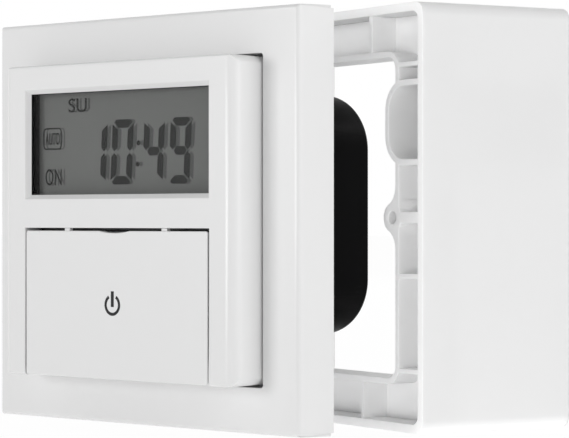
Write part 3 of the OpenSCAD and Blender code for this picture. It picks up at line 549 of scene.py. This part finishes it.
# Node, heads to the front, two rows, then in millimetres: head radius and height, shank radius,
# recess width, thread pitch.
for node, toward_front, two_rows, head_r, head_h, shank_r, recess, pitch in (
        ("board_screws", False, True, 1.5, 1.2, 0.7, 0.42, 0.6),
        ("housing_screws", True, True, 1.9, 1.3, 0.9, 0.5, 0.8),
        ("power_board_screws", True, False, 1.55, 1.2, 0.75, 0.42, 0.6)):
    lo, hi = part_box(node)
    r = head_r * MM
    seat = lo.y + head_h * MM if toward_front else hi.y - head_h * MM
    rows = (lo.z + r, hi.z - r) if two_rows else ((lo.z + hi.z) / 2,)
    screws_over(node, [(x, seat, z) for x in (lo.x + r, hi.x - r) for z in rows], toward_front,
                Head_Radius=head_r, Head_Height=head_h, Shank_Radius=shank_r,
                Shank_Length=(hi.y - lo.y) / MM - head_h, Recess_Width=recess, Thread_Pitch=pitch)


# ---- display content ----

FIELD_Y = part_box("lcd_panel")[0].y
PAINTED_SHADOW_Y, FIGURE_Y = FIELD_Y - INK, FIELD_Y - 3 * INK
# Painted shadows of the figures lie just behind them, shifted to the right by this many millimetres.
PAINTED_SHADOW_SHIFT = 0.9
BOLD = 0.006
LETTER_MERGE = 0.001 * MM
DIGIT_Z = (7.0, 19.65)
DIGIT_MID = sum(DIGIT_Z) / 2
STROKE_V, STROKE_H, CUT, SLANT = 1.55, 1.65, 0.28, 0.055
LIT = {"0": "abcdef", "1": "bc", "4": "fgbc", "9": "abcdfg"}
CELLS = [(-10.7, -4.9, "1"), (-3.6, 2.1, "0"), (4.9, 10.3, "4"), (11.8, 17.2, "9")]
COLON = [(3.55, 15.0, 0.5), (3.55, 10.9, 0.5)]
MODE_FRAME = (-22.6, -17.4, 14.1, 18.5, 0.9, 0.3)
WORDS = [("day_mark", "SU", -15.5, -10.4, 21.4, 24.2),
         ("auto_mark", "AUTO", -22.0, -18.0, 15.1, 17.5),
         ("on_mark", "ON", -22.0, -17.4, 7.0, 10.3)]


def slabs_mesh(name, outlines, y_front, thick):
    """Flat solids from outlines in X and Z given in millimetres; those that touch are joined."""
    bm = bmesh.new()
    for outline in outlines:
        front = [bm.verts.new((x * MM, y_front, z * MM)) for x, z in outline]
        back = [bm.verts.new((x * MM, y_front + thick, z * MM)) for x, z in outline]
        bm.faces.new(front)
        bm.faces.new(back[::-1])
        for i in range(len(outline)):
            j = (i + 1) % len(outline)
            bm.faces.new((front[i], back[i], back[j], front[j]))
    bmesh.ops.remove_doubles(bm, verts=bm.verts, dist=SLIVER)
    inside = [f for f in bm.faces if all(len(e.link_faces) > 2 for e in f.edges)]
    bmesh.ops.delete(bm, geom=inside, context="FACES_ONLY")
    bmesh.ops.recalc_face_normals(bm, faces=bm.faces)
    mesh = bpy.data.meshes.new(name)
    bm.to_mesh(mesh)
    bm.free()
    return mesh


def segment_outlines(x0, x1, lit):
    """Outlines of the lit bars of one seven-bar digit."""
    z1, m = DIGIT_Z[1], DIGIT_MID
    v, h, c = STROKE_V, STROKE_H, CUT
    slope, tip = 0.35 * h, 0.35 * v
    gap, tuck, end = 1.5 * c, 0.4 * c, 0.6 * c
    top = [(x0 + gap + tip, z1), (x1 - gap - tip, z1), (x1 - gap, z1 - slope),
           (x1 - v - tuck, z1 - h), (x0 + v + tuck, z1 - h), (x0 + gap, z1 - slope)]
    upright = [(0, z1 - slope - c), (v, z1 - h - 1.4 * c), (v, m + h / 2 + 0.5 * c),
               (v / 2, m + end), (0, m + end + v / 2)]
    bar = [(x0 + v / 2 + c, m), (x0 + v + end, m + h / 2), (x1 - v - end, m + h / 2),
           (x1 - v / 2 - c, m), (x1 - v - end, m - h / 2), (x0 + v + end, m - h / 2)]
    bars = {
        "a": top,
        "d": [(x, 2 * m - z) for x, z in top],
        "f": [(x0 + x, z) for x, z in upright],
        "b": [(x1 - x, z) for x, z in upright],
        "e": [(x0 + x, 2 * m - z) for x, z in upright],
        "c": [(x1 - x, 2 * m - z) for x, z in upright],
        "g": bar,
    }
    return [[(x + SLANT * (z - m), z) for x, z in bars[k]] for k in lit]


def dot_outline(x, z, r):
    sides = 16
    x += SLANT * (z - DIGIT_MID)
    return [(x + r * math.cos(math.tau * i / sides), z + r * math.sin(math.tau * i / sides))
            for i in range(sides)]


def round_path(x0, x1, z0, z1, r):
    """Points along a rectangle with rounded corners."""
    steps = 5
    path = []
    for cx, cz, start in ((x1 - r, z1 - r, 0), (x0 + r, z1 - r, 90), (x0 + r, z0 + r, 180),
                          (x1 - r, z0 + r, 270)):
        for i in range(steps + 1):
            a = math.radians(start + 90 * i / steps)
            path.append((cx + r * math.cos(a), cz + r * math.sin(a)))
    return path


def frame_outlines(x0, x1, z0, z1, r, t):
    """Thin rounded frame as quads between its outer and inner path."""
    outer = round_path(x0, x1, z0, z1, r)
    inner = round_path(x0 + t, x1 - t, z0 + t, z1 - t, r - t)
    return [[outer[i - 1], outer[i], inner[i], inner[i - 1]] for i in range(len(outer))]


def word_mesh(name, word, x0, x1, z0, z1, y_front, thick, weight=0.0):
    """Lettering as closed solids, fitted to a box in X and Z given in millimetres."""
    curve = bpy.data.curves.new(name, "FONT")
    curve.body = word
    curve.extrude = 0.5
    curve.offset = weight
    maker = bpy.data.objects.new(name + "_maker", curve)
    scene.collection.objects.link(maker)
    mesh = evaluated_mesh(maker)
    bpy.data.objects.remove(maker)
    bpy.data.curves.remove(curve)
    xs = [p.co.x for p in mesh.vertices]
    ys = [p.co.y for p in mesh.vertices]
    left, foot = min(xs), min(ys)
    sx = (x1 - x0) * MM / (max(xs) - left)
    sz = (z1 - z0) * MM / (max(ys) - foot)
    for p in mesh.vertices:
        u, v, w = p.co
        p.co = (x0 * MM + (u - left) * sx, y_front + thick * (0.5 - w), z0 * MM + (v - foot) * sz)
    bm = bmesh.new()
    bm.from_mesh(mesh)
    bmesh.ops.remove_doubles(bm, verts=bm.verts, dist=LETTER_MERGE)
    bmesh.ops.dissolve_degenerate(bm, dist=LETTER_MERGE, edges=bm.edges)
    bmesh.ops.recalc_face_normals(bm, faces=bm.faces)
    bm.to_mesh(mesh)
    bm.free()
    mesh.name = name
    return mesh


outlines = []
for x0, x1, digit in CELLS:
    outlines += segment_outlines(x0, x1, LIT[digit])
outlines += [dot_outline(*dot) for dot in COLON]
outlines += frame_outlines(*MODE_FRAME)
# Painted shadow: darker copies of the bars, dots and mode frame, shifted right, stand for the
# figures' shadow on the display's rear reflector.
painted_shadows = [[(x + PAINTED_SHADOW_SHIFT, z) for x, z in o] for o in outlines]
add_piece("display_painted_shadows", slabs_mesh("display_painted_shadows", painted_shadows, PAINTED_SHADOW_Y, INK), "timer",
          SEGMENT_PAINTED_SHADOW)
add_piece("display_bars", slabs_mesh("display_bars", outlines, FIGURE_Y, INK), "timer",
          SEGMENT)
# Each word gets the same painted shadow behind it, shifted right.
for name, word, x0, x1, z0, z1 in WORDS:
    shade = word_mesh(name + "_shade", word, x0 + PAINTED_SHADOW_SHIFT, x1 + PAINTED_SHADOW_SHIFT, z0, z1,
                      PAINTED_SHADOW_Y, INK, BOLD)
    add_piece(name + "_shade", shade, "timer", SEGMENT_PAINTED_SHADOW)
    add_piece(name, word_mesh(name, word, x0, x1, z0, z1, FIGURE_Y, INK, BOLD), "timer",
              SEGMENT)


# ---- printed marks ----

MARK_X, MARK_Z, MARK_R, MARK_STROKE, MARK_OPEN = -0.3, -16.3, 1.8, 0.6, 62
BAR_WIDTH, BAR_Z = 0.78, (-16.7, -13.65)
# The border on the key sheet and the dark bead around it are painted shade for the unlit bay seen
# through the gap above the flap.
BORDER_R, BORDER = 0.5, 0.45
SHADE_BEAD, SHADE_BEAD_CLEAR = 0.26, 0.03
SHADE_BEAD_BACK, SHADE_BEAD_DEPTH = 0.1 * MM, 0.6 * MM
LEGENDS = [("day_key", "DAY", 4.2, 0.2), ("hour_key", "HOUR", 5.4, 0.2),
           ("minute_key", "MIN", 4.0, 0.2), ("program_key", "SET", 3.8, 0.2),
           ("reset_button", "R", 1.2, 0.5)]
LEGEND_HEIGHT = 1.5


def standby_outlines():
    """Open ring as short quads, and the bar that stands in its gap."""
    steps = 44
    a0 = math.radians(90 + MARK_OPEN / 2)
    a1 = math.radians(450 - MARK_OPEN / 2)
    inner, outer = MARK_R - MARK_STROKE / 2, MARK_R + MARK_STROKE / 2
    ring = []
    for i in range(steps):
        p, q = (a0 + (a1 - a0) * k / steps for k in (i, i + 1))
        ring.append([(MARK_X + r * math.cos(a), MARK_Z + r * math.sin(a))
                     for r, a in ((inner, p), (outer, p), (outer, q), (inner, q))])
    left, right = MARK_X - BAR_WIDTH / 2, MARK_X + BAR_WIDTH / 2
    foot, top = BAR_Z
    return ring + [[(left, foot), (right, foot), (right, top), (left, top)]]


mark_mesh = slabs_mesh("standby_mark", standby_outlines(), FLAP_FRONT - INK, INK)
add_piece("standby_mark", mark_mesh, "flap", PRINT_AND_PAINTED_SHADE)

fascia_lo, fascia_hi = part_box("key_fascia")
FASCIA_PRINT = fascia_lo.y - INK
x0, x1, z0, z1 = (v / MM for v in (fascia_lo.x, fascia_hi.x, fascia_lo.z, fascia_hi.z))
# Painted shade: a dark border printed round the key sheet and a dark bead just outside it darken the
# slot above the flap, where there is only the bay's shade.
border = frame_outlines(x0, x1, z0, z1, BORDER_R, BORDER)
add_piece("fascia_painted_shade_border", slabs_mesh("fascia_painted_shade_border", border, FASCIA_PRINT, INK), "timer",
          PRINT_AND_PAINTED_SHADE)
shade_bead = frame_outlines(x0 - SHADE_BEAD, x1 + SHADE_BEAD, z0 - SHADE_BEAD, z1 + SHADE_BEAD, BORDER_R, SHADE_BEAD - SHADE_BEAD_CLEAR)
shade_bead_mesh = slabs_mesh("fascia_painted_shade_bead", shade_bead, fascia_lo.y + SHADE_BEAD_BACK, SHADE_BEAD_DEPTH)
add_piece("fascia_painted_shade_bead", shade_bead_mesh, "timer", MATERIALS["stem"])
for key, word, width, gap in LEGENDS:
    lo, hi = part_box(key)
    mid = (lo.x + hi.x) / 2 / MM
    foot = hi.z / MM + gap
    legend = word_mesh(key + "_word", word, mid - width / 2, mid + width / 2, foot,
                       foot + LEGEND_HEIGHT, FASCIA_PRINT, INK)
    add_piece(key + "_word", legend, "timer", PRINT_AND_PAINTED_SHADE)


# ---- floor, light and camera ----

WHITE = (1.0, 1.0, 1.0, 1.0)
WORLD_LEVEL = 0.33
FLOOR_COLOUR = (0.88, 0.88, 0.88, 1.0)
FLOOR_GLOW = 0.3
FLOOR_SEEN = 0.96
FLOOR_HALF = 4.0
FLOOR_GAP = 0.05 * MM


def white_where_seen(tree, seen_shader, lit_shader, out, share):
    """Show one shader to camera, glossy and transmission rays, and the other to light."""
    path = tree.nodes.new("ShaderNodeLightPath").outputs
    mirrored = math_node(tree, "MAXIMUM", path["Is Glossy Ray"], path["Is Transmission Ray"])
    seen = math_node(tree, "MAXIMUM", path["Is Camera Ray"], mirrored)
    mix = tree.nodes.new("ShaderNodeMixShader")
    tree.links.new(math_node(tree, "MULTIPLY", seen, share), mix.inputs[0])
    tree.links.new(lit_shader, mix.inputs[1])
    tree.links.new(seen_shader, mix.inputs[2])
    tree.links.new(mix.outputs["Shader"], out)


def make_world(level):
    world = bpy.data.worlds.new("soft_room")
    world.use_nodes = True
    tree = world.node_tree
    lit = tree.nodes["Background"]
    seen = tree.nodes.new("ShaderNodeBackground")
    for shader, strength in ((lit, level), (seen, 1.0)):
        shader.inputs["Color"].default_value = WHITE
        shader.inputs["Strength"].default_value = strength
    white_where_seen(tree, seen.outputs[0], lit.outputs[0],
                     tree.nodes["World Output"].inputs["Surface"], 1.0)
    scene.world = world


def make_floor(z):
    mesh = bpy.data.meshes.new("floor")
    s = FLOOR_HALF
    mesh.from_pydata([(-s, -s, z), (s, -s, z), (s, s, z), (-s, s, z)], [], [(0, 1, 2, 3)])
    mat = bpy.data.materials.new("pale_floor")
    mat.use_nodes = True
    tree = mat.node_tree
    tree.nodes.remove(tree.nodes["Principled BSDF"])
    matt = tree.nodes.new("ShaderNodeBsdfDiffuse")
    matt.inputs["Color"].default_value = FLOOR_COLOUR
    through = tree.nodes.new("ShaderNodeEmission")
    through.inputs["Strength"].default_value = FLOOR_GLOW
    table = tree.nodes.new("ShaderNodeAddShader")
    tree.links.new(matt.outputs[0], table.inputs[0])
    tree.links.new(through.outputs[0], table.inputs[1])
    glow = tree.nodes.new("ShaderNodeEmission")
    glow.inputs["Strength"].default_value = 1.0
    white_where_seen(tree, glow.outputs[0], table.outputs[0],
                     tree.nodes["Material Output"].inputs["Surface"], FLOOR_SEEN)
    mesh.materials.append(mat)
    floor = bpy.data.objects.new("floor", mesh)
    scene.collection.objects.link(floor)


def soft_light(name, place, aim, size, watts):
    lamp = bpy.data.lights.new(name, "AREA")
    lamp.shape = "RECTANGLE"
    lamp.size, lamp.size_y = size
    lamp.energy = watts
    obj = bpy.data.objects.new(name, lamp)
    scene.collection.objects.link(obj)
    obj.location = place
    obj.rotation_euler = (Vector(aim) - Vector(place)).to_track_quat("-Z", "Y").to_euler()
    return obj


def only_lights(lamp, piece):
    """Lamp for one piece, which nothing else takes or shades."""
    lit = bpy.data.collections.new(lamp.name + "_reach")
    lit.objects.link(piece)
    lamp.light_linking.receiver_collection = lit
    lamp.light_linking.blocker_collection = lit


def not_on(lamp, piece):
    """Lamp for everything but one piece."""
    left_out = bpy.data.collections.new(lamp.name + "_not_on")
    left_out.objects.link(piece)
    left_out.collection_objects[0].light_linking.link_state = "EXCLUDE"
    lamp.light_linking.receiver_collection = left_out


# Lamps: name, place, aim, size and watts. The loose box has its own, without the timer's shadow.
SIDE_AT, SIDE_SIZE = (0.93, 0.11, 0.35), (1.0, 0.9)
BOX_AIM, TALL_SIZE = (0.05, 0.03, 0.0), (0.5, 0.4)
BOX_LAMPS = [("box_side", SIDE_AT, (0.06, 0.03, 0.0), SIDE_SIZE, 0.95),
             ("box_front", (0.348, -0.946, -0.1), BOX_AIM, (0.6, 0.4), 4.2),
             ("box_high", (0.05, -0.14, 0.985), BOX_AIM, TALL_SIZE, 1.5),
             ("box_low", (0.05, -0.14, -0.985), BOX_AIM, TALL_SIZE, 1.5)]

make_world(WORLD_LEVEL)
make_floor(cad_box[0][2] - FLOOR_GAP)
soft_light("front_left", (-0.40, -0.93, 0.13), (0.0, 0.0, 0.0), (0.38, 0.33), 2.9)
soft_light("front_right", (0.26, -0.97, 0.2), (0.03, 0.03, 0.0), (0.6, 0.5), 0.1)
not_on(soft_light("side_right", SIDE_AT, (0.03, 0.0, 0.0), SIDE_SIZE, 4.5), BOX_SHELL)
soft_light("back", (0.0, 1.0, 0.3), (0.02, 0.03, 0.0), (0.9, 0.5), 4.0)
for lamp in BOX_LAMPS:
    only_lights(soft_light(*lamp), BOX_SHELL)

EYE_AT, EYE_TURN = (0.2988, -0.3258, 0.0003), math.radians(39.8)
camera = bpy.data.cameras.new("camera")
camera.sensor_width = 36.0
camera.sensor_fit = "HORIZONTAL"
camera.lens = 140.08
camera.clip_start = 0.01
eye = bpy.data.objects.new("camera", camera)
scene.collection.objects.link(eye)
eye.location = EYE_AT
eye.rotation_euler = (math.radians(90.0), 0.0, EYE_TURN)
scene.camera = eye
